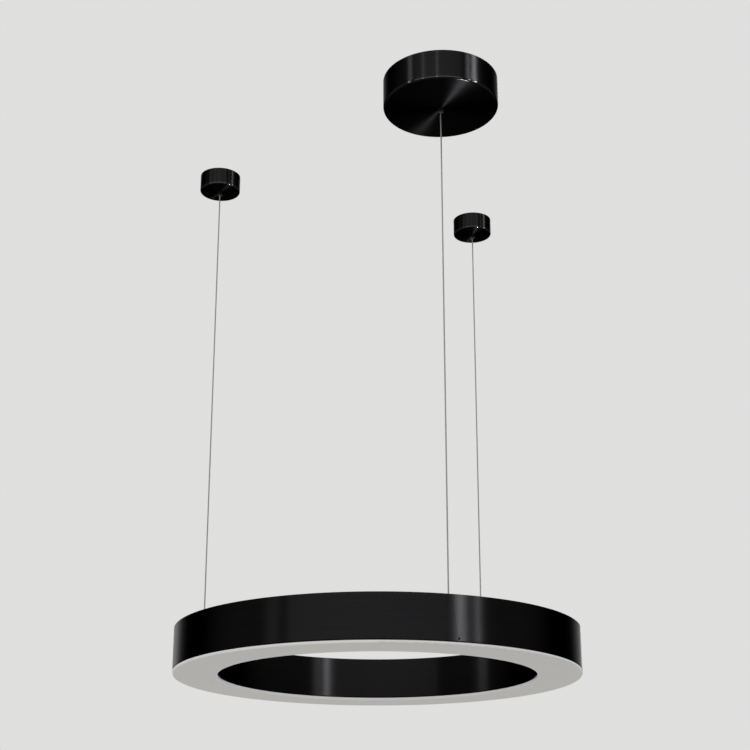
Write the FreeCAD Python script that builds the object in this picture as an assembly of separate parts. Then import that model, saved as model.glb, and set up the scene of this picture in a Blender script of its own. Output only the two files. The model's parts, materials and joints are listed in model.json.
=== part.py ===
import FreeCAD, Part
import math
import os

# A ring light that hangs on three steel cables.  Millimetres, +Z up.
# The origin lies in the ceiling plane, straight above the middle of the ring.

# Layout
hang_height = 850.0        # ceiling to the underside of the diffuser
near_angle = -69.5         # bearing of the cable that carries the feed
cable_count = 3

# Ring section
ring_radius = 300.0
section_width = 65.0
wall_height = 61.8
hoop_sheet = 1.5
edge_break = 0.5           # chamfer on the rims of the hoops
top_sheet = 2.0
top_recess = 1.0           # the top plate lies this far below the rims
seat_gap = 0.3             # between curved faces that only locate each other

# Diffuser
shadow_gap = 1.2           # dark joint between the opal edge and the hoops
diffuser_edge = 4.0        # opal edge that shows below the hoops
diffuser_skin = 3.0
diffuser_wall = 3.0
diffuser_upstand = 9.0
diffuser_round = 2.5
diffuser_inner_round = 1.0

# Screws
screw_radius = 1.5
screw_head_radius = 2.8
screw_head_height = 1.7
screw_clearance = 0.1
socket_width = 2.0
socket_depth = 1.0
side_screw_height = 3.6    # centre above the foot of the hoops
side_screw_length = 6.0

# LED carrier and ribs
carrier_sheet = 2.0
carrier_height = 32.0      # underside of the carrier above the foot of the hoops
rib_count = 6
rib_width = 16.0
rib_column = 12.0
rib_web = 5.0
top_screw_length = 9.0
carrier_screw_length = 8.0
ferrule_window = 7.0       # radius of the holes in the carrier below the cables

# LED boards
board_count = 6
board_width = 28.0
board_sheet = 1.6
board_gap = 5.0            # degrees between neighbouring boards
chips_per_board = 14
chip_size = 5.0
chip_height = 1.0
chip_margin = 3.5          # degrees from the end of the board to the first chip
board_screw_inset = 1.4    # degrees from the end of the board to its screw
board_screw_length = 5.0
terminal_bearing = 9.0     # degrees from the near cable to the ring terminal
ring_terminal_length = 18.0
ring_terminal_width = 11.0
ring_terminal_height = 10.0
ring_terminal_bore = 1.6
ring_terminal_pitch = 8.0

# Cables
cable_radius = 1.1
cable_bore = 1.4
crimp_gap = 0.05
ferrule_radius = 2.6
ferrule_length = 8.0
ferrule_grip = 6.5         # length of cable inside the ferrule
nipple_radius = 2.6
nipple_height = 4.5
nipple_cap = 0.5

# Cable grippers in the ring
gripper_radius = 5.0
gripper_length = 18.0      # below the top of the top plate
gripper_flange_radius = 7.0
gripper_flange_height = 1.2
gripper_lip = 2.4
gripper_chamber_radius = 4.1
gripper_hole_gap = 0.2
plunger_radius = 2.9
plunger_fit = 0.1
plunger_nose = 2.2
plunger_foot_radius = 3.7
plunger_foot_height = 2.0
ball_radius = 0.95
ball_count = 3
spring_outer_radius = 3.9
spring_wall = 0.5
spring_gap = 0.1
spring_length = 8.4
nut_width = 14.0
nut_height = 4.0

# Canopies
main_radius = 85.0
main_height = 46.0
small_radius = 33.0
small_height = 29.0
cover_sheet = 1.5
main_round = 3.0
small_round = 2.2
cover_ceiling_gap = 0.6
cover_slide_gap = 0.4
plate_sheet = 2.0
plate_rim = 7.0
recess_depth = 9.5
main_recess_radius = 16.0
small_recess_radius = 11.0
main_screw_spacing = 136.0
small_screw_spacing = 42.0
ceiling_hole_radius = 2.25

# Stems and collars
stem_radius = 3.0
stem_out = 4.0             # stem below the cover
stem_head_width = 11.0
stem_head_height = 4.0
stem_nut_height = 3.0
thread_gap = 0.1
cover_hole_gap = 0.3
collar_radius = 4.2
collar_floor = 1.7
collar_tip_gap = 0.4
collar_round = 0.8

# Driver, terminal block and cable entry in the main canopy
driver_rim_gap = 1.1       # between the driver's corners and the rim of the ceiling plate
driver_width = 36.0
driver_height = 24.0
driver_offset = 41.0
driver_ear = 8.0
driver_ear_sheet = 2.0
driver_round = 2.0
terminal_length = 34.0
terminal_width = 16.0
terminal_height = 14.0
terminal_offset = -40.0
terminal_poles = 3
terminal_pole_pitch = 8.0
terminal_wire_radius = 1.6
terminal_screw_inset = 3.5
entry_x = -40.0
entry_y = -12.0
entry_bore = 6.5
entry_wall = 2.5
entry_flange = 2.0
entry_lip = 1.5
ceiling_clearance = 0.3    # screw tips and the grommet stay this far below the ceiling

# Levels and radii that follow from the sizes above
ring_floor = -hang_height
opal_top = ring_floor + diffuser_edge
foot = opal_top + shadow_gap
rim = foot + wall_height
plate_top = rim - top_recess
plate_under = plate_top - top_sheet
carrier_under = foot + carrier_height
carrier_top = carrier_under + carrier_sheet
inner_radius = ring_radius - section_width
mid_radius = ring_radius - section_width / 2
channel_outer = ring_radius - hoop_sheet
channel_inner = inner_radius + hoop_sheet
seat_outer = channel_outer - seat_gap
seat_inner = channel_inner + seat_gap
rib_screw_radii = (seat_inner + rib_column / 2, seat_outer - rib_column / 2)
side_screw_level = foot + side_screw_height
gripper_under = plate_top - gripper_length
lip_under = plate_top + gripper_flange_height - gripper_lip
plunger_under = lip_under - seat_gap - plunger_foot_height
chamber_floor = plunger_under - spring_gap - spring_length
stem_head_top = stem_head_height - recess_depth
main_rim_inner = main_radius - cover_sheet - cover_slide_gap - plate_sheet
driver_corner_y = driver_offset + driver_width / 2
driver_length = 2 * math.sqrt((main_rim_inner - driver_rim_gap) ** 2 - driver_corner_y ** 2)

CABLES = ("near", "left", "far")
BEARINGS = {name: near_angle - i * 360 / cable_count for i, name in enumerate(CABLES)}


def at(radius, bearing, z=0.0):
    a = math.radians(bearing)
    return FreeCAD.Vector(radius * math.cos(a), radius * math.sin(a), z)


def anchor(name):
    return at(mid_radius, BEARINGS[name])


def moved(shape, place):
    shape.translate(place)
    return shape


def turned(outline):
    """Solid of revolution about Z from (radius, z) corners."""
    corners = [FreeCAD.Vector(r, 0, z) for r, z in outline]
    face = Part.Face(Part.makePolygon(corners + corners[:1]))
    return face.revolve(FreeCAD.Vector(), FreeCAD.Vector(0, 0, 1), 360)


def rod(radius, low, high, place=None):
    base = FreeCAD.Vector(0, 0, low) if place is None else FreeCAD.Vector(place.x, place.y, low)
    return Part.makeCylinder(radius, high - low, base)


def tube(outer, inner, low, high, place=None):
    return rod(outer, low, high, place).cut(rod(inner, low, high, place))


def block(length_x, length_y, low, high, place):
    corner = FreeCAD.Vector(place.x - length_x / 2, place.y - length_y / 2, low)
    return Part.makeBox(length_x, length_y, high - low, corner)


def turned_block(radial, across, low, high, radius, bearing):
    """Block that faces the axis of the ring."""
    solid = block(radial, across, low, high, FreeCAD.Vector(radius, 0, 0))
    solid.rotate(FreeCAD.Vector(), FreeCAD.Vector(0, 0, 1), bearing)
    return solid


def hexagon(width, low, high, place):
    corner_radius = width / math.sqrt(3)
    corners = [place + at(corner_radius, 60 * i, low) for i in range(7)]
    return Part.Face(Part.makePolygon(corners)).extrude(FreeCAD.Vector(0, 0, high - low))


def arc_band(inner, outer, low, high, start, sweep):
    """Part of a flat ring between two bearings."""
    face = Part.makePolygon([FreeCAD.Vector(inner, 0, low), FreeCAD.Vector(outer, 0, low),
                             FreeCAD.Vector(outer, 0, high), FreeCAD.Vector(inner, 0, high),
                             FreeCAD.Vector(inner, 0, low)])
    solid = Part.Face(face).revolve(FreeCAD.Vector(), FreeCAD.Vector(0, 0, 1), sweep)
    solid.rotate(FreeCAD.Vector(), FreeCAD.Vector(0, 0, 1), start)
    return solid


def rounded(shape, radius, z, size):
    """Round the circular edges of one radius and level."""
    edges = [e for e in shape.Edges
             if isinstance(e.Curve, Part.Circle)
             and abs(e.Curve.Radius - radius) < 1e-6 and abs(e.Curve.Center.z - z) < 1e-6]
    return shape.makeFillet(size, edges)


def pan_screw(place, seat, length, upward=True):
    """Round-headed screw with a hexagon socket; the head lies against the seat level."""
    way = 1 if upward else -1
    head_far = seat - way * screw_head_height
    head = rod(screw_head_radius, min(seat, head_far), max(seat, head_far), place)
    tip = seat + way * length
    shank = rod(screw_radius, min(seat, tip), max(seat, tip), place)
    socket_end = head_far + way * socket_depth
    socket = hexagon(socket_width, min(head_far, socket_end), max(head_far, socket_end), place)
    return head.fuse(shank).cut(socket)


def screw_hole(place, low, high):
    return rod(screw_radius + screw_clearance, low, high, place)


def sunk_head(place, extra=0.0):
    """Countersunk head under the top of the top plate."""
    narrow = screw_radius + extra
    wide = screw_head_radius + extra
    base = FreeCAD.Vector(place.x, place.y, plate_top - (wide - narrow))
    return Part.makeCone(narrow, wide, wide - narrow, base)


def rib_bearings():
    return [near_angle + 180 / rib_count + i * 360 / rib_count for i in range(rib_count)]


def rib_screw_places():
    return [at(r, bearing) for bearing in rib_bearings() for r in rib_screw_radii]


def board_starts():
    return [near_angle + board_gap / 2 + i * 360 / board_count for i in range(board_count)]


def board_sweep():
    return 360 / board_count - board_gap


def board_screw_places(start):
    ends = (start + board_screw_inset, start + board_sweep() - board_screw_inset)
    return [at(mid_radius, bearing) for bearing in ends]


# Ring

def hoop(inner, outer):
    b = edge_break
    return turned([(inner + b, foot), (outer - b, foot), (outer, foot + b), (outer, rim - b),
                   (outer - b, rim), (inner + b, rim), (inner, rim - b), (inner, foot + b)])


def side_hole(name, radius, start, end):
    """Rod along the radius at the level of the side screws."""
    bearing = BEARINGS[name]
    return Part.makeCylinder(radius, end - start, at(start, bearing, side_screw_level), at(1, bearing))


def outer_hoop():
    solid = hoop(channel_outer, ring_radius)
    for name in CABLES:
        reach = (channel_outer - hoop_sheet, ring_radius + hoop_sheet)
        solid = solid.cut(side_hole(name, screw_radius + screw_clearance, *reach))
    return solid


def inner_hoop():
    return hoop(inner_radius, channel_inner)


def top_plate():
    solid = tube(seat_outer, seat_inner, plate_under, plate_top)
    for name in CABLES:
        solid = solid.cut(rod(gripper_radius + gripper_hole_gap, plate_under, plate_top, anchor(name)))
    for place in rib_screw_places():
        solid = solid.cut(screw_hole(place, plate_under, plate_top))
        solid = solid.cut(sunk_head(place, screw_clearance))
    return solid


def rib(bearing):
    span = math.degrees(rib_width / mid_radius)
    solid = arc_band(seat_inner, seat_outer, carrier_top, plate_under, bearing - span / 2, span)
    window = arc_band(seat_inner + rib_column, seat_outer - rib_column, carrier_top,
                      plate_under - rib_web, bearing - span, 2 * span)
    solid = solid.cut(window)
    for radius in rib_screw_radii:
        solid = solid.cut(screw_hole(at(radius, bearing), carrier_top, plate_under))
    return solid


def ribs():
    return Part.makeCompound([rib(bearing) for bearing in rib_bearings()])


def top_screw(place):
    shank = rod(screw_radius, plate_top - top_screw_length, plate_top, place)
    socket = hexagon(socket_width, plate_top - socket_depth, plate_top, place)
    return shank.fuse(sunk_head(place)).cut(socket)


def top_screws():
    return Part.makeCompound([top_screw(place) for place in rib_screw_places()])


def carrier_plate():
    solid = tube(seat_outer, seat_inner, carrier_under, carrier_top)
    for name in CABLES:
        solid = solid.cut(rod(ferrule_window, carrier_under, carrier_top, anchor(name)))
    places = rib_screw_places()
    for start in board_starts():
        places += board_screw_places(start)
    for place in places:
        solid = solid.cut(screw_hole(place, carrier_under, carrier_top))
    return solid


def carrier_screws():
    screws = [pan_screw(p, carrier_under, carrier_screw_length) for p in rib_screw_places()]
    return Part.makeCompound(screws)


def led_board(start):
    solid = arc_band(mid_radius - board_width / 2, mid_radius + board_width / 2,
                     carrier_under - board_sheet, carrier_under, start, board_sweep())
    for place in board_screw_places(start):
        solid = solid.cut(screw_hole(place, carrier_under - board_sheet, carrier_under))
    return solid


def led_chips():
    chips = []
    high = carrier_under - board_sheet
    pitch = (board_sweep() - 2 * chip_margin) / (chips_per_board - 1)
    for start in board_starts():
        for i in range(chips_per_board):
            bearing = start + chip_margin + i * pitch
            chips.append(turned_block(chip_size, chip_size, high - chip_height, high, mid_radius, bearing))
    return Part.makeCompound(chips)


def board_screws():
    seat = carrier_under - board_sheet
    places = [p for start in board_starts() for p in board_screw_places(start)]
    return Part.makeCompound([pan_screw(p, seat, board_screw_length) for p in places])


def ring_terminal():
    bearing = near_angle + terminal_bearing
    solid = turned_block(ring_terminal_width, ring_terminal_length, carrier_top,
                         carrier_top + ring_terminal_height, mid_radius, bearing)
    for side in (-1, 1):
        offset = math.degrees(side * ring_terminal_pitch / 2 / mid_radius)
        start = at(mid_radius - ring_terminal_width, bearing + offset,
                   carrier_top + ring_terminal_height / 2)
        bore = Part.makeCylinder(ring_terminal_bore, 2 * ring_terminal_width, start, at(1, bearing + offset))
        solid = solid.cut(bore)
    return solid


def diffuser():
    low = ring_floor
    skin = ring_floor + diffuser_skin
    high = foot + diffuser_upstand
    solid = turned([(inner_radius, low), (ring_radius, low), (ring_radius, opal_top),
                    (seat_outer, opal_top), (seat_outer, high), (seat_outer - diffuser_wall, high),
                    (seat_outer - diffuser_wall, skin), (seat_inner + diffuser_wall, skin),
                    (seat_inner + diffuser_wall, high), (seat_inner, high), (seat_inner, opal_top),
                    (inner_radius, opal_top)])
    solid = rounded(solid, ring_radius, low, diffuser_round)
    solid = rounded(solid, inner_radius, low, diffuser_inner_round)
    for name in CABLES:
        reach = (seat_outer - 2 * diffuser_wall, seat_outer + seat_gap)
        solid = solid.cut(side_hole(name, screw_radius + screw_clearance, *reach))
    return solid


def side_screws():
    screws = []
    end = ring_radius - seat_gap
    for name in CABLES:
        body = side_hole(name, screw_radius, end - side_screw_length, end)
        socket = side_hole(name, socket_width / 2, end - socket_depth, end)
        screws.append(body.cut(socket))
    return Part.makeCompound(screws)


# Cable grippers

def gripper(name):
    place = anchor(name)
    high = plate_top + gripper_flange_height
    solid = rod(gripper_radius, gripper_under, plate_top, place)
    solid = solid.fuse(rod(gripper_flange_radius, plate_top, high, place))
    solid = solid.cut(rod(plunger_radius + plunger_fit, lip_under, high, place))
    solid = solid.cut(rod(gripper_chamber_radius, chamber_floor, lip_under, place))
    return solid.cut(rod(cable_bore, gripper_under, chamber_floor, place))


def gripper_nuts():
    nuts = []
    for name in CABLES:
        outline = hexagon(nut_width, plate_under - nut_height, plate_under, anchor(name))
        hole = rod(gripper_radius + thread_gap, plate_under - nut_height, plate_under, anchor(name))
        nuts.append(outline.cut(hole))
    return Part.makeCompound(nuts)


def plunger(name):
    place = anchor(name)
    high = plate_top + gripper_flange_height + plunger_nose
    foot_top = plunger_under + plunger_foot_height
    solid = rod(plunger_radius, foot_top, high, place)
    solid = solid.fuse(rod(plunger_foot_radius, plunger_under, foot_top, place))
    return solid.cut(rod(cable_bore, plunger_under, high, place))


def balls(name):
    """Three locking balls between the cable and the spring, under the plunger."""
    orbit = cable_radius + ball_radius + plunger_fit
    level = plunger_under - ball_radius - plunger_fit
    solids = []
    for i in range(ball_count):
        centre = anchor(name) + at(orbit, i * 360 / ball_count, level)
        solids.append(Part.makeSphere(ball_radius, centre))
    return Part.makeCompound(solids)


def spring(name):
    inner = spring_outer_radius - spring_wall
    return tube(spring_outer_radius, inner, chamber_floor, plunger_under - spring_gap, anchor(name))


# Cables

def cable(name, ferrule_top):
    return rod(cable_radius, ferrule_top - ferrule_grip, stem_head_top + nipple_height - nipple_cap,
               anchor(name))


def ferrule(name, high):
    solid = rod(ferrule_radius, high - ferrule_length, high, anchor(name))
    return solid.cut(rod(cable_radius + crimp_gap, high - ferrule_grip, high, anchor(name)))


def nipple(name):
    high = stem_head_top + nipple_height
    solid = rod(nipple_radius, stem_head_top, high, anchor(name))
    return solid.cut(rod(cable_radius + crimp_gap, stem_head_top, high - nipple_cap, anchor(name)))


# Canopies

def canopy_sizes(name):
    """Radius, height, edge round, recess radius and screw spacing of one canopy."""
    if name == "near":
        return main_radius, main_height, main_round, main_recess_radius, main_screw_spacing
    return small_radius, small_height, small_round, small_recess_radius, small_screw_spacing


def ceiling_plate(name):
    radius, _, _, recess, spacing = canopy_sizes(name)
    edge = radius - cover_sheet - cover_slide_gap
    hole = stem_radius + thread_gap
    t = plate_sheet
    solid = turned([(hole, -recess_depth - t), (recess + t, -recess_depth - t), (recess + t, -t),
                    (edge - t, -t), (edge - t, -plate_rim), (edge, -plate_rim), (edge, 0),
                    (recess, 0), (recess, -recess_depth), (hole, -recess_depth)])
    for side in (-1, 1):
        place = FreeCAD.Vector(side * spacing / 2, 0, 0)
        solid = solid.cut(rod(ceiling_hole_radius, -t, 0, place))
    return solid


def main_plate():
    solid = ceiling_plate("near")
    for place in driver_screw_places() + terminal_screw_places():
        solid = solid.cut(screw_hole(place, -plate_sheet, 0))
    neck = entry_bore + entry_wall + screw_clearance
    return solid.cut(rod(neck, -plate_sheet, 0, FreeCAD.Vector(entry_x, entry_y, 0)))


def stem(name):
    _, height, _, _, _ = canopy_sizes(name)
    low = -height - stem_out
    solid = rod(stem_radius, low, -recess_depth)
    solid = solid.fuse(hexagon(stem_head_width, -recess_depth, stem_head_top, FreeCAD.Vector()))
    return solid.cut(rod(cable_bore, low, stem_head_top))


def stem_nut():
    low = -recess_depth - plate_sheet - stem_nut_height
    high = -recess_depth - plate_sheet
    return hexagon(stem_head_width, low, high, FreeCAD.Vector()).cut(rod(stem_radius + thread_gap, low, high))


def cover(name):
    radius, height, edge_round, _, _ = canopy_sizes(name)
    hole = stem_radius + cover_hole_gap
    inner = radius - cover_sheet
    inside = cover_sheet - height
    solid = turned([(hole, -height), (radius, -height), (radius, -cover_ceiling_gap),
                    (inner, -cover_ceiling_gap), (inner, inside), (hole, inside)])
    solid = rounded(solid, radius, -height, edge_round)
    return rounded(solid, inner, inside, edge_round - cover_sheet)


def collar(name):
    _, height, _, _, _ = canopy_sizes(name)
    high = -height - seat_gap
    pocket = -height - stem_out - collar_tip_gap
    low = pocket - collar_floor
    solid = rounded(rod(collar_radius, low, high), collar_radius, low, collar_round)
    solid = solid.cut(rod(stem_radius + thread_gap, pocket, high))
    return solid.cut(rod(cable_bore, low, pocket))


# Electrical pieces in the main canopy

def driver_screw_places():
    reach = driver_length / 2 + driver_ear / 2
    return [FreeCAD.Vector(side * reach, driver_offset, 0) for side in (-1, 1)]


def terminal_screw_places():
    reach = terminal_length / 2 - terminal_screw_inset
    return [FreeCAD.Vector(side * reach, terminal_offset, 0) for side in (-1, 1)]


def led_driver():
    place = FreeCAD.Vector(0, driver_offset, 0)
    low = -plate_sheet - driver_height
    case = block(driver_length, driver_width, low, -plate_sheet, place)
    case = case.makeFillet(driver_round, [e for e in case.Edges if e.BoundBox.ZMax < low + driver_round])
    ears = block(driver_length + 2 * driver_ear, driver_width / 2,
                 -plate_sheet - driver_ear_sheet, -plate_sheet, place)
    solid = case.fuse(ears)
    for hole in driver_screw_places():
        solid = solid.cut(screw_hole(hole, -plate_sheet - driver_ear_sheet, -plate_sheet))
    return solid.removeSplitter()


def driver_screws():
    seat = -plate_sheet - driver_ear_sheet
    length = plate_sheet + driver_ear_sheet - ceiling_clearance
    return Part.makeCompound([pan_screw(p, seat, length) for p in driver_screw_places()])


def terminal_block():
    low = -plate_sheet - terminal_height
    place = FreeCAD.Vector(0, terminal_offset, 0)
    solid = block(terminal_length, terminal_width, low, -plate_sheet, place)
    for i in range(terminal_poles):
        x = (i - (terminal_poles - 1) / 2) * terminal_pole_pitch
        start = FreeCAD.Vector(x, terminal_offset - terminal_width / 2, low + terminal_height / 2)
        solid = solid.cut(Part.makeCylinder(terminal_wire_radius, terminal_width, start,
                                            FreeCAD.Vector(0, 1, 0)))
    for hole in terminal_screw_places():
        solid = solid.cut(screw_hole(hole, low, -plate_sheet))
    return solid


def terminal_screws():
    seat = -plate_sheet - terminal_height
    length = plate_sheet + terminal_height - ceiling_clearance
    return Part.makeCompound([pan_screw(p, seat, length) for p in terminal_screw_places()])


def entry_grommet():
    neck = entry_bore + entry_wall
    under = -plate_sheet - entry_lip
    solid = turned([(entry_bore, under), (neck + entry_flange, under), (neck + entry_flange, -plate_sheet),
                    (neck, -plate_sheet), (neck, -ceiling_clearance), (entry_bore, -ceiling_clearance)])
    return moved(solid, FreeCAD.Vector(entry_x, entry_y, 0))


def all_nodes():
    nodes = {
        "outer_hoop": outer_hoop(),
        "inner_hoop": inner_hoop(),
        "top_plate": top_plate(),
        "section_ribs": ribs(),
        "top_screws": top_screws(),
        "carrier_plate": carrier_plate(),
        "carrier_screws": carrier_screws(),
        "led_chips": led_chips(),
        "board_screws": board_screws(),
        "ring_terminal": ring_terminal(),
        "diffuser": diffuser(),
        "side_screws": side_screws(),
        "gripper_nuts": gripper_nuts(),
    }
    for i, start in enumerate(board_starts()):
        nodes[f"led_board_{i + 1}"] = led_board(start)
    for name in CABLES:
        place = anchor(name)
        canopy = "main" if name == "near" else name
        plate = main_plate() if name == "near" else ceiling_plate(name)
        nodes[f"{name}_gripper"] = gripper(name)
        nodes[f"{name}_plunger"] = plunger(name)
        nodes[f"{name}_balls"] = balls(name)
        nodes[f"{name}_spring"] = spring(name)
        nodes[f"{name}_cable"] = cable(name, gripper_under - seat_gap)
        nodes[f"{name}_ferrule"] = ferrule(name, gripper_under - seat_gap)
        nodes[f"{name}_nipple"] = nipple(name)
        nodes[f"{canopy}_plate"] = moved(plate, place)
        nodes[f"{canopy}_stem"] = moved(stem(name), place)
        nodes[f"{canopy}_stem_nut"] = moved(stem_nut(), place)
        nodes[f"{canopy}_cover"] = moved(cover(name), place)
        nodes[f"{canopy}_collar"] = moved(collar(name), place)
    main_pieces = {
        "led_driver": led_driver(),
        "driver_screws": driver_screws(),
        "terminal_block": terminal_block(),
        "terminal_screws": terminal_screws(),
        "entry_grommet": entry_grommet(),
    }
    for name, shape in main_pieces.items():
        nodes[name] = moved(shape, anchor("near"))
    return nodes


os.makedirs("parts", exist_ok=True)
for node, shape in all_nodes().items():
    shape.exportStep(f"parts/{node}.step")
    print(node, len(shape.Solids), shape.isValid(), round(shape.Volume))
print("cable length", round(stem_head_top + nipple_height - nipple_cap
                            - (gripper_under - seat_gap - ferrule_grip), 1))
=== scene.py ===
import bpy
import json
import math
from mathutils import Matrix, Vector


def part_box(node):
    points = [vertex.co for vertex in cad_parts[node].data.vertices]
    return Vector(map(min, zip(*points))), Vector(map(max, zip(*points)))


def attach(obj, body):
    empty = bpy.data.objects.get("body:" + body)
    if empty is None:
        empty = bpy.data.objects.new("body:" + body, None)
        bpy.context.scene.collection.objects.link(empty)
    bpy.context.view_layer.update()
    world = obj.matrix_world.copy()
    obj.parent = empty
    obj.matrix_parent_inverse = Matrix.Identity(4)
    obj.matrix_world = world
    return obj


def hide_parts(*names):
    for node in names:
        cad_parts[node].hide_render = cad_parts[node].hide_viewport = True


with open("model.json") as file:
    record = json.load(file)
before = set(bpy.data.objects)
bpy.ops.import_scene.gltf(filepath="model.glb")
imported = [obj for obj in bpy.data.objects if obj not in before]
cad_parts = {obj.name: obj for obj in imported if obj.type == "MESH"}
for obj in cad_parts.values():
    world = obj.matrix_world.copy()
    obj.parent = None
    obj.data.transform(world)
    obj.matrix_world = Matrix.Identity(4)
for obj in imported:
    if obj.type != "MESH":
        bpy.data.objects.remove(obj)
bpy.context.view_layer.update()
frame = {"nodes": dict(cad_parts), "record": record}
nodes = frame["nodes"]


# ---------------------------------------------------------------- the two hoops
# Aluminium strip, rolled to the outer and the inner radius of the ring, brushed round
# the hoop before it was anodised black.  Ribs inside the ring hold both hoops.

class Socket:
    """One output of a shader node.  Arithmetic on it adds Math nodes to its material."""

    def __init__(self, tree, output=None):
        self.tree = tree
        self.output = output

    def feed(self, target, value):
        if isinstance(value, Socket):
            self.tree.links.new(value.output, target)
        else:
            target.default_value = value

    def node(self, kind, settings=None, inputs=None, output=0):
        """A node of any type: its settings are set first, then its sockets' values or links."""
        made = self.tree.nodes.new(kind)
        for name, value in (settings or {}).items():
            if name == "stops":
                ramp = made.color_ramp
                while len(ramp.elements) < len(value):
                    ramp.elements.new(1.0)
                for element, (place, colour) in zip(ramp.elements, value):
                    element.position = place
                    element.color = (*colour, 1.0)
            else:
                setattr(made, name, value)
        for name, value in (inputs or {}).items():
            self.feed(made.inputs[name], value)
        return Socket(self.tree, made.outputs[output])

    def maths(self, operation, *values):
        return self.node("ShaderNodeMath", {"operation": operation}, dict(enumerate(values)))

    def __add__(self, other):
        return self.maths("ADD", self, other)

    def __sub__(self, other):
        return self.maths("SUBTRACT", self, other)

    def __rsub__(self, other):
        return self.maths("SUBTRACT", other, self)

    def __mul__(self, other):
        return self.maths("MULTIPLY", self, other)

    def __truediv__(self, other):
        return self.maths("DIVIDE", self, other)

    __radd__ = __add__

    def mix(self, low, high):
        """A colour between two, by this value."""
        return self.node("ShaderNodeMix", {"data_type": "RGBA"}, {0: self, 6: low, 7: high}, 2)

    def noise(self, scale, detail=2.0, vector=None):
        inputs = {"Scale": scale, "Detail": detail}
        if vector is not None:
            inputs["Vector"] = vector
        return self.node("ShaderNodeTexNoise", None, inputs)

    def bump(self, height, strength, distance, normal=None):
        inputs = {"Height": height, "Strength": strength, "Distance": distance}
        if normal is not None:
            inputs["Normal"] = normal
        return self.node("ShaderNodeBump", None, inputs)


def new_material(name, **constants):
    """A material with a Principled shader whose constant sockets are set, and its root socket."""
    material = bpy.data.materials.new(name)
    material.use_nodes = True
    tree = material.node_tree
    tree.nodes.clear()
    shader = tree.nodes.new("ShaderNodeBsdfPrincipled")
    output = tree.nodes.new("ShaderNodeOutputMaterial")
    tree.links.new(shader.outputs[0], output.inputs[0])
    for key, value in constants.items():
        shader.inputs[key.replace("_", " ")].default_value = value
    root = Socket(tree)

    def feed(**links):
        for key, value in links.items():
            root.feed(shader.inputs[key.replace("_", " ")], value)
    return material, root, feed


def place_xyz(root):
    """X, Y and Z of the surface in the object's frame."""
    where = root.node("ShaderNodeTexCoord", output=3)
    split = [root.node("ShaderNodeSeparateXYZ", None, {0: where}, i) for i in range(3)]
    return where, split


def lathe_lines(root, centre, pitch, unevenness=2.0):
    """Fine lines that run round a vertical axis, on walls and flat faces alike."""
    _, (x, y, z) = place_xyz(root)
    x = x - centre[0]
    y = y - centre[1]
    reach = root.maths("SQRT", x * x + y * y)
    turn = root.node("ShaderNodeCombineXYZ", None,
                     {0: x / reach * unevenness, 1: y / reach * unevenness, 2: reach / pitch})
    return root.node("ShaderNodeTexNoise", {"noise_dimensions": "4D"},
                     {"Vector": turn, "W": z / pitch, "Scale": 1.0, "Detail": 3.0,
                      "Roughness": 0.6})


def turned_normal(root, centre, upright_rise=0.01):
    """The surface's normal and its rise; on an upright wall it points from the axis."""
    _, (x, y, _) = place_xyz(root)
    facet = root.node("ShaderNodeNewGeometry", output=3)
    up = root.node("ShaderNodeSeparateXYZ", None, {0: facet}, 2)
    from_axis = root.node("ShaderNodeCombineXYZ", None, {0: x - centre[0], 1: y - centre[1]})
    radial = root.node("ShaderNodeVectorMath", {"operation": "NORMALIZE"}, {0: from_axis})
    along = root.node("ShaderNodeVectorMath", {"operation": "DOT_PRODUCT"},
                      {0: facet, 1: radial}, 1)
    outward = root.node("ShaderNodeVectorMath", {"operation": "SCALE"},
                        {0: radial, 3: root.maths("SIGN", along)})
    upright = root.maths("LESS_THAN", root.maths("ABSOLUTE", up), upright_rise)
    smooth = root.node("ShaderNodeNewGeometry", output=1)
    normal = root.node("ShaderNodeMix", {"data_type": "VECTOR"},
                       {0: upright, 4: smooth, 5: outward}, 1)
    return normal, up


def brushed_black(name, centre, grain, depth, foot_shine=0.006):
    """Black anodised aluminium, brushed round the axis; its upper bevel is painted lighter as a
    highlight, and its lower round is polished, with its colour raised as a painted highlight.
    """
    quarter_turn = 0.25
    broad_over_fine = 7
    fine_share = 0.6
    broad_share = 0.4
    bevel_gain = 4.0
    round_gain = 12.0
    most_polish = 0.16
    line_height = 0.0002
    dull = (0.003, 0.003, 0.0033, 1)
    bright = (0.009, 0.009, 0.0095, 1)
    # painted highlight: the upper bevel's colour, far lighter than the brushed black
    painted_bevel_highlight = (0.16, 0.16, 0.165, 1)
    material, root, feed = new_material(name, Metallic=1.0, Anisotropic=0.96,
                                        Anisotropic_Rotation=quarter_turn,
                                        Specular_Tint=(0.4, 0.4, 0.4, 1))
    fine = lathe_lines(root, centre, grain)
    broad = lathe_lines(root, centre, grain * broad_over_fine)
    lines = fine * fine_share + broad * broad_share
    normal, up = turned_normal(root, centre)
    bevel = root.maths("MAXIMUM", up * (1 - up) * bevel_gain, 0.0)
    # the lower round faces down; it is polished, and its colour is raised to foot_shine as a
    # painted highlight
    facing_down = root.maths("MAXIMUM", up * (-1 - up) * round_gain, 0.0)
    lower_round = root.maths("MINIMUM", facing_down, 1.0)
    black = lower_round.mix(lines.mix(dull, bright), (foot_shine, foot_shine, foot_shine, 1))
    # faces tilted upwards, the upper bevel, take the painted highlight colour
    feed(Base_Color=bevel.mix(black, painted_bevel_highlight),
         Roughness=0.22 + lines * 0.08 - lower_round * min(foot_shine * 12, most_polish),
         Normal=root.bump(lines, depth, line_height, normal))
    return material


def dress(node, material):
    """A CAD node keeps its shape and gets one finish all over."""
    mesh = nodes[node].data
    mesh.materials.clear()
    mesh.materials.append(material)


hoop_grain = 0.00045
hoop_grain_depth = 0.07
hoop_black = brushed_black("hoop_black", (0.0, 0.0), hoop_grain, hoop_grain_depth)
dress("outer_hoop", hoop_black)
dress("inner_hoop", hoop_black)


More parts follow.
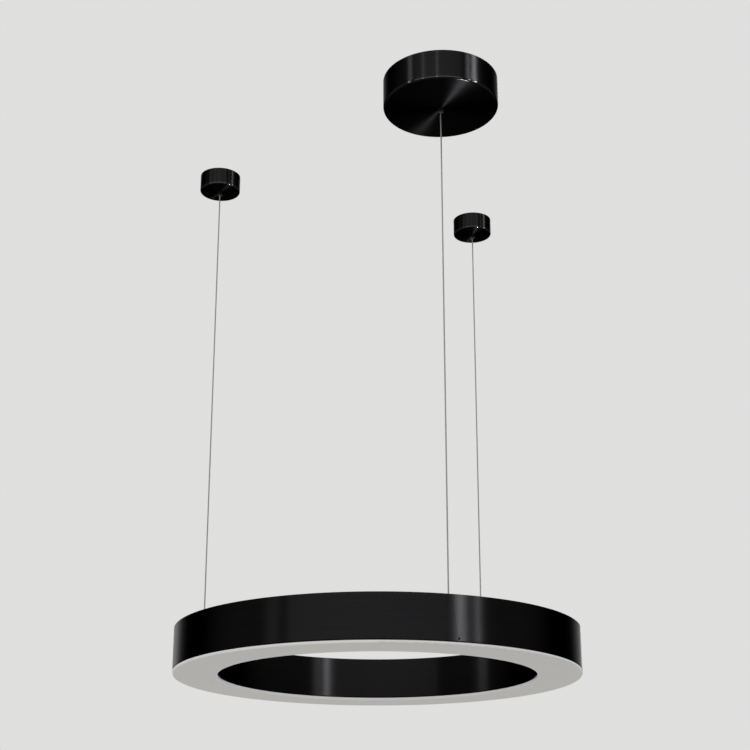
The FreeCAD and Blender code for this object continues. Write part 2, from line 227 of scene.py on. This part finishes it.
# ---------------------------------------------------------------- diffuser
# A turned tray of opal acrylic, satin below, painted lighter at its edges as a highlight.  Three
# grub screws hold its upstand, painted black outside as the shade in the joint between tray and
# hoops.

tray_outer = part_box("diffuser")[1].x
hoop_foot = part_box("outer_hoop")[0].z
joint_height = 0.0012
hoop_sheet = 0.0015
section_width = tray_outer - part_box("inner_hoop")[1].x + hoop_sheet
half_width = section_width / 2
joint_shade_from = 0.92           # share of the half width, from the middle of the section
lit_from = 0.9
lit_width = 0.1
joint_shade_overlap = 1.02        # the painted shade reaches a little below the joint

opal, root, feed = new_material("opal_acrylic", IOR=1.49, Subsurface_Weight=0.15,
                                Subsurface_Scale=0.004, Coat_Roughness=0.12)
where, (x, y, z) = place_xyz(root)
cloud = root.noise(14.0, 3.0, where)
satin = root.noise(2600.0, 2.0, where)
satin_opal = cloud.mix((0.648, 0.634, 0.605, 1), (0.680, 0.668, 0.642, 1))
# painted highlight: a lighter opal colour along the tray's inner and outer edges
painted_rim_highlight = (0.80, 0.79, 0.775, 1)
# painted shade: black on the upstand's outside, in place of the shade in the joint
painted_joint_shade = (0.004, 0.004, 0.004, 1)
across = (root.maths("SQRT", x * x + y * y) - (tray_outer - half_width)) / half_width
edge = root.maths("ABSOLUTE", across)
outside = root.maths("GREATER_THAN", edge, joint_shade_from)
lit_edge = root.maths("MAXIMUM", (edge - lit_from) / lit_width, 0.0)
raised = root.maths("GREATER_THAN", z, hoop_foot - joint_height * joint_shade_overlap)
joint_shade_mask = outside * raised
# the edges get the painted highlight, and the upstand above the joint gets the painted shade
feed(Base_Color=joint_shade_mask.mix(lit_edge.mix(satin_opal, painted_rim_highlight), painted_joint_shade),
     Roughness=0.36 + cloud * 0.10 + joint_shade_mask * 0.5,
     Coat_Weight=0.15 + cloud * 0.1,
     Normal=root.bump(satin, 0.05, 0.00005))
dress("diffuser", opal)


# ---------------------------------------------------------------- top plate and collars
# The top plate is an aluminium annulus, screwed to the ribs between the hoops.  The turned
# collars sit on the stems' threads and hold the covers up.  All are satin black anodised.

satin_black, root, feed = new_material("satin_black", Metallic=0.85, IOR=1.5)
where, _ = place_xyz(root)
grain = root.noise(1400.0, 3.0, where)
wear = root.noise(22.0, 4.0, where)
feed(Base_Color=wear.mix((0.014, 0.014, 0.015, 1), (0.026, 0.026, 0.027, 1)),
     Roughness=0.42 + grain * 0.12,
     Normal=root.bump(grain, 0.12, 0.0001))
for node in ("top_plate", "main_collar", "left_collar", "far_collar"):
    dress(node, satin_black)


# ---------------------------------------------------------------- canopy covers
# Drawn aluminium cups, brushed on the lathe: round the wall and in circles below, then
# anodised black.  Each goes over its ceiling plate and is held up by the collar.

canopies = {"main": "near", "left": "left", "far": "far"}
# colour of each cover's polished lower round, raised as a painted highlight for the lamp dots
round_shine = {"main": 0.013, "left": 0.018, "far": 0.018}


def middle(node):
    low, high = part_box(node)
    return (low + high) / 2


cover_grain = 0.00035
cover_grain_depth = 0.004
for canopy in canopies:
    cover = f"{canopy}_cover"
    centre = middle(cover)
    dress(cover, brushed_black(f"{cover}_black", (centre.x, centre.y), cover_grain,
                               cover_grain_depth, round_shine[canopy]))


# ---------------------------------------------------------------- small hardware
# Zinc-plated plates, stems, nuts and screws, black oxide screws, nickel-plated brass
# grippers, noses, nipples and ferrules, spring steel, bare aluminium ribs and carrier, and
# polished balls.  Screws and nuts hold them, and the cables' ends are crimped.

def metal(name, dark, light, roughness, scale, wear=0.12):
    """A plated or raw metal with a cloudy surface and fine tooling grain."""
    material, root, feed = new_material(name, Metallic=1.0)
    where, _ = place_xyz(root)
    cloud = root.noise(scale, 4.0, where)
    grain = root.noise(scale * 12, 2.0, where)
    feed(Base_Color=cloud.mix((*dark, 1), (*light, 1)),
         Roughness=roughness + cloud * wear,
         Normal=root.bump(grain, 0.08, 0.0001))
    return material


metals = {
    "zinc_steel": ((0.46, 0.48, 0.50), (0.64, 0.65, 0.66), 0.28, 160.0),
    "black_screws": ((0.012, 0.012, 0.013), (0.03, 0.03, 0.03), 0.34, 300.0),
    "nickel_brass": ((0.52, 0.50, 0.46), (0.68, 0.66, 0.62), 0.20, 220.0),
    "steel_balls": ((0.62, 0.62, 0.63), (0.74, 0.74, 0.75), 0.06, 400.0, 0.04),
    "spring_steel": ((0.38, 0.39, 0.40), (0.52, 0.53, 0.55), 0.24, 300.0),
    "raw_aluminium": ((0.58, 0.59, 0.60), (0.72, 0.73, 0.74), 0.34, 90.0),
}
finishes = {name: metal(name, *look) for name, look in metals.items()}


# ---------------------------------------------------------------- LED boards, driver and terminals
# White-masked boards with resin-topped LEDs, a moulded driver case, nylon terminal
# blocks and a rubber grommet; all of them are hidden until a cover comes down.

def moulding(name, dark, light, roughness, scale, depth):
    """Moulded plastic or rubber with a fine spark-eroded grain."""
    material, root, feed = new_material(name, IOR=1.48)
    where, _ = place_xyz(root)
    cloud = root.noise(scale / 20, 3.0, where)
    grain = root.noise(scale, 2.0, where)
    feed(Base_Color=cloud.mix((*dark, 1), (*light, 1)),
         Roughness=roughness + grain * 0.15,
         Normal=root.bump(grain, 0.25, depth))
    return material


mouldings = {
    "white_board": ((0.74, 0.75, 0.75), (0.82, 0.83, 0.83), 0.40, 2200.0, 0.00005),
    "led_phosphor": ((0.80, 0.62, 0.16), (0.88, 0.72, 0.24), 0.22, 1800.0, 0.00004),
    "driver_case": ((0.74, 0.74, 0.72), (0.80, 0.80, 0.78), 0.45, 1500.0, 0.0001),
    "white_nylon": ((0.76, 0.75, 0.72), (0.84, 0.83, 0.80), 0.38, 1600.0, 0.00008),
    "black_rubber": ((0.016, 0.016, 0.016), (0.03, 0.03, 0.03), 0.60, 1700.0, 0.0001),
}
for name, look in mouldings.items():
    finishes[name] = moulding(name, *look)
for entry in frame["record"]["subparts"]:
    if entry["material_slot"] in finishes:
        dress(entry["node"], finishes[entry["material_slot"]])


# ---------------------------------------------------------------- suspension cables
# Each is a bright steel strand of six wires laid round a core, pulled straight between
# the nipple above the stem and the ferrule under the gripper.

cable_diameter = 0.0022
wire_radius = cable_diameter / 6
lay_length = 0.016
steps_per_turn = 14
outer_wires = 6
wire_sides = 6
core_fill = 1.02           # the core closes up on the wires, which keep a hair's gap
wire_fill = 0.985

steel, root, feed = new_material("cable_steel", Metallic=1.0)
where, _ = place_xyz(root)
tarnish = root.noise(60.0, 4.0, where)
feed(Base_Color=tarnish.mix((0.36, 0.36, 0.352, 1), (0.48, 0.476, 0.464, 1)),
     Roughness=0.30 + tarnish * 0.12)


def route_points(name, points):
    """The points that a smooth line through these control points follows."""
    curve = bpy.data.curves.new(name, "CURVE")
    curve.dimensions = "3D"
    curve.resolution_u = 24
    spline = curve.splines.new("NURBS")
    spline.points.add(len(points) - 1)
    for point, place in zip(spline.points, points):
        point.co = (*place, 1.0)
    spline.order_u = 3
    spline.use_endpoint_u = True
    line = bpy.data.objects.new(name, curve)
    mesh = bpy.data.meshes.new_from_object(line)
    path = [v.co.copy() for v in mesh.vertices]
    bpy.data.objects.remove(line)
    bpy.data.meshes.remove(mesh)
    return path


def wire_ring(centre, radius, sides):
    """Corners of one cross-section of a wire."""
    angles = [2 * math.pi * i / sides for i in range(sides)]
    return [(centre[0] + radius * math.cos(a), centre[1] + radius * math.sin(a), centre[2])
            for a in angles]


def add_wire(vertices, faces, centres, radius, sides):
    """A closed tube through these centres, appended to the lists of a mesh."""
    base = len(vertices)
    for centre in centres:
        vertices.extend(wire_ring(centre, radius, sides))
    for i in range(len(centres) - 1):
        for j in range(sides):
            k = (j + 1) % sides
            low = base + i * sides
            faces.append((low + j, low + k, low + sides + k, low + sides + j))
    faces.append(tuple(base + j for j in reversed(range(sides))))
    faces.append(tuple(base + (len(centres) - 1) * sides + j for j in range(sides)))


def strand(name, top, bottom):
    """Six wires laid round a straight core between two heights."""
    vertices = []
    faces = []
    turns = (top.z - bottom.z) / lay_length
    steps = int(turns * steps_per_turn)
    core = [(top.x, top.y, z) for z in (bottom.z, top.z)]
    add_wire(vertices, faces, core, wire_radius * core_fill, wire_sides)
    for wire in range(outer_wires):
        centres = []
        for i in range(steps + 1):
            angle = 2 * math.pi * (turns * i / steps + wire / outer_wires)
            centres.append((top.x + 2 * wire_radius * math.cos(angle),
                            top.y + 2 * wire_radius * math.sin(angle),
                            bottom.z + (top.z - bottom.z) * i / steps))
        add_wire(vertices, faces, centres, wire_radius * wire_fill, wire_sides)
    mesh = bpy.data.meshes.new(name)
    mesh.from_pydata(vertices, [], faces)
    mesh.shade_smooth()
    made = bpy.data.objects.new(name, mesh)
    bpy.context.scene.collection.objects.link(made)
    mesh.materials.append(steel)
    return made


for canopy, cable in canopies.items():
    low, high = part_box(f"{cable}_cable")
    axis = (low + high) / 2
    top = Vector((axis.x, axis.y, high.z))
    bottom = Vector((axis.x, axis.y, low.z))
    path = route_points(f"{cable}_route", [top, (top + bottom) / 2, bottom])
    piece = strand(f"{cable}_strand", top, bottom)
    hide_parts(f"{cable}_cable")
    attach(piece, "suspension")


# ---------------------------------------------------------------- studio
# A pale floor well below the part, a pale surround and one wide soft lamp.  Further wide
# lamps and strips light the brushed pieces alone and draw the streaks on their walls.

floor_level = -3.3
floor_reach = 60.0
pale = (0.74, 0.74, 0.735)

floor_mesh = bpy.data.meshes.new("floor")
corners = [(-floor_reach, -floor_reach), (floor_reach, -floor_reach),
           (floor_reach, floor_reach), (-floor_reach, floor_reach)]
floor_mesh.from_pydata([(x, y, floor_level) for x, y in corners], [], [(0, 1, 2, 3)])
floor = bpy.data.objects.new("floor", floor_mesh)
bpy.context.scene.collection.objects.link(floor)
floor_pale, root, feed = new_material("floor_pale", Roughness=0.8)
where, _ = place_xyz(root)
feed(Base_Color=root.noise(3.0, 3.0, where).mix((*pale, 1), (0.76, 0.76, 0.755, 1)))
floor_mesh.materials.append(floor_pale)

world = bpy.data.worlds.new("studio")
bpy.context.scene.world = world
world.use_nodes = True
world.node_tree.nodes.clear()
surround = Socket(world.node_tree).node("ShaderNodeBackground", None,
                                        {"Color": (*pale, 1), "Strength": 1.0})
world_output = world.node_tree.nodes.new("ShaderNodeOutputWorld")
world.node_tree.links.new(surround.output, world_output.inputs[0])


def soft_lamp(name, bearing, distance, level, width, height, power, lights_only=None,
              tilt=0.0):
    """A rectangular lamp that faces the ring's axis; bearing 0 is towards the camera."""
    data = bpy.data.lights.new(name, "AREA")
    data.shape = "RECTANGLE"
    data.size = width
    data.size_y = height
    data.energy = power
    lamp = bpy.data.objects.new(name, data)
    a = math.radians(bearing)
    lamp.location = (distance * math.sin(a), -distance * math.cos(a), level)
    lamp.rotation_euler = (math.pi / 2 + math.radians(tilt), 0.0, a)
    lamp.visible_camera = False
    if lights_only:
        lamp.light_linking.receiver_collection = lights_only
    bpy.context.scene.collection.objects.link(lamp)


def brushed_pieces(name, pieces):
    """The brushed pieces that a strip is drawn on; its light leaves the others alone."""
    group = bpy.data.collections.new(name)
    for piece in pieces:
        group.objects.link(nodes[piece])
    return group


front_bearing = -6.0
hoop_strip_level = -0.4
hoop_strip_height = 3.2
soft_lamp("front_soft", front_bearing, 4.2, -0.3, 7.6, 2.6, 22.0)

hoops = brushed_pieces("brushed_hoops", ("outer_hoop", "inner_hoop"))
outer = brushed_pieces("brushed_outer", ("outer_hoop",))
inner = brushed_pieces("brushed_inner", ("inner_hoop",))
covers = brushed_pieces("brushed_covers", [f"{canopy}_cover" for canopy in canopies])
soft_lamp("hoops_front", front_bearing, 4.0, -0.3, 7.2, 2.6, 129.0, hoops)
hoop_strips = {   # pieces, bearing, distance, width, power
    "outer_strip": (outer, 43.5, 3.0, 0.24, 63.0),
    "outer_thread": (outer, 53.0, 3.0, 0.05, 28.0),
    "outer_left_band": (outer, -56.0, 3.1, 0.4, 6.0),
    "inner_strip": (inner, 40.8, 3.0, 0.20, 74.0),
    "inner_band": (inner, 48.6, 3.0, 0.28, 21.0),
    "inner_left_band": (inner, -90.5, 3.1, 0.45, 25.0),
    "hoops_left_rim": (hoops, -142.0, 3.2, 0.9, 6.0),
    "hoops_right_rim": (hoops, 160.0, 3.2, 0.25, 5.0),
}
for name, (lit, bearing, distance, width, power) in hoop_strips.items():
    soft_lamp(name, bearing, distance, hoop_strip_level, width, hoop_strip_height, power, lit)

soft_lamp("covers_front", front_bearing, 3.9, 0.3, 7.2, 3.6, 290.0, covers)
soft_lamp("covers_low", 122.0, 0.76, -1.98, 0.04, 0.2, 90.0, covers, 66.0)

strip_distance = 3.0
strip_level = 0.3
strip_height = 4.4
cover_strips = {   # covers, then bearing, width and power of each strip
    "main": (("main",), ((-57.5, 0.13, 56.0), (-31.0, 0.10, 18.0), (-6.0, 0.10, 16.0),
                         (50.0, 0.12, 75.0), (62.5, 0.16, 240.0), (160.0, 0.30, 10.0))),
    "small": (("left", "far"), ((-57.5, 0.13, 20.0), (-31.0, 0.10, 5.0), (-6.0, 0.10, 5.0),
                                (30.0, 0.13, 8.0), (55.0, 0.12, 16.0), (78.0, 0.20, 110.0),
                                (160.0, 0.30, 8.0))),
}
for kind, (names, strips) in cover_strips.items():
    lit = brushed_pieces(f"{kind}_brushed", [f"{canopy}_cover" for canopy in names])
    for bearing, width, power in strips:
        soft_lamp(f"{kind}_strip_{round(bearing)}", bearing, strip_distance, strip_level, width,
                  strip_height, power, lit)


# ---------------------------------------------------------------- camera
# Below the ring and in front of it, tilted up, as the photograph was taken.

focal_pixels = 1441.4
frame_pixels = 750.0
camera_back = 2.129
camera_below_ring = 0.3217
camera_tilt = 0.3173
camera_aside = -0.0036
upward_shift = 0.08

lens = bpy.data.cameras.new("camera")
lens.sensor_width = 36.0
lens.lens = focal_pixels / frame_pixels * lens.sensor_width
lens.shift_y = upward_shift
camera = bpy.data.objects.new("camera", lens)
camera.location = (camera_aside, -camera_back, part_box("diffuser")[0].z - camera_below_ring)
camera.rotation_euler = (math.pi / 2 + camera_tilt, 0.0, 0.0)
bpy.context.scene.collection.objects.link(camera)
bpy.context.scene.camera = camera
bpy.context.scene.view_settings.view_transform = "Standard"
